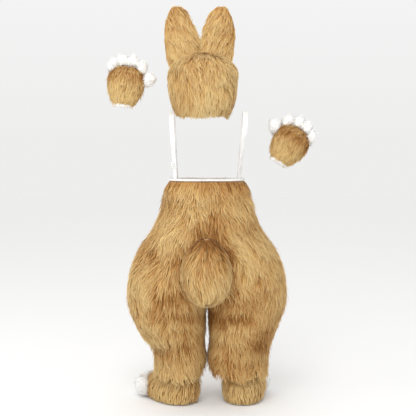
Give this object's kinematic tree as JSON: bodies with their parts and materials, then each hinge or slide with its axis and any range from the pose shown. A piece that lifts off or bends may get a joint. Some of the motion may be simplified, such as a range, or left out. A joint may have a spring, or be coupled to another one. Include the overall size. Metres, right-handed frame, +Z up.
{
  "type": "bunny fursuit",
  "caption": "Bunny costume of long-pile tan fur cloth, in worn pose with no wearer: padded-look trousers on white shoulder tapes with a round tail, eared head, white-fingered paws and toed feet.",
  "frame": {"origin": "centre of the trousers' waist opening, at the top of its binding, where the wearer's waist holds the suit", "axes": "+Z up along the wearer's body, +Y the way the suit faces, +X to the right as seen from behind, so the back and tail face -Y"},
  "size_m": [0.9699, 0.5443, 1.872],
  "materials": {
    "tan_fur": "long-pile faux fur, golden tan with darker orange-brown roots and pale tips",
    "white_fur": "soft white faux fur, medium pile",
    "cream_plush": "short cream plush",
    "white_tape": "white woven elastic and binding tape",
    "white_plastic": "moulded white plastic",
    "pink_felt": "dusty pink felt",
    "dark_mesh": "dark see-through mesh cloth",
    "grey_sole": "dull grey-brown non-slip cloth"
  },
  "bodies": {
    "root": {"trousers_back_left": "tan_fur", "trousers_back_right": "tan_fur", "trousers_front_left": "tan_fur", "trousers_front_right": "tan_fur", "waist_binding": "white_tape", "tail": "tan_fur", "strap_left": "white_tape", "strap_right": "white_tape", "slider_left": "white_plastic", "slider_right": "white_plastic", "head_back": "tan_fur", "head_face": "tan_fur", "muzzle": "white_fur", "nose": "pink_felt", "eye_left": "dark_mesh", "eye_right": "dark_mesh", "ear_back_left": "tan_fur", "ear_back_right": "tan_fur", "ear_front_left": "cream_plush", "ear_front_right": "cream_plush", "paw_back_left": "tan_fur", "paw_palm_left": "tan_fur", "finger_1_left": "white_fur", "finger_2_left": "white_fur", "finger_3_left": "white_fur", "finger_4_left": "white_fur", "thumb_left": "white_fur", "cuff_left": "white_tape", "paw_back_right": "tan_fur", "paw_palm_right": "tan_fur", "finger_1_right": "white_fur", "finger_2_right": "white_fur", "finger_3_right": "white_fur", "finger_4_right": "white_fur", "thumb_right": "white_fur", "cuff_right": "white_tape", "foot_upper_left": "tan_fur", "foot_sole_left": "grey_sole", "toe_1_left": "white_fur", "toe_2_left": "white_fur", "toe_3_left": "white_fur", "toe_4_left": "white_fur", "foot_upper_right": "tan_fur", "foot_sole_right": "grey_sole", "toe_1_right": "white_fur", "toe_2_right": "white_fur", "toe_3_right": "white_fur", "toe_4_right": "white_fur"}
  },
  "joints": []
}
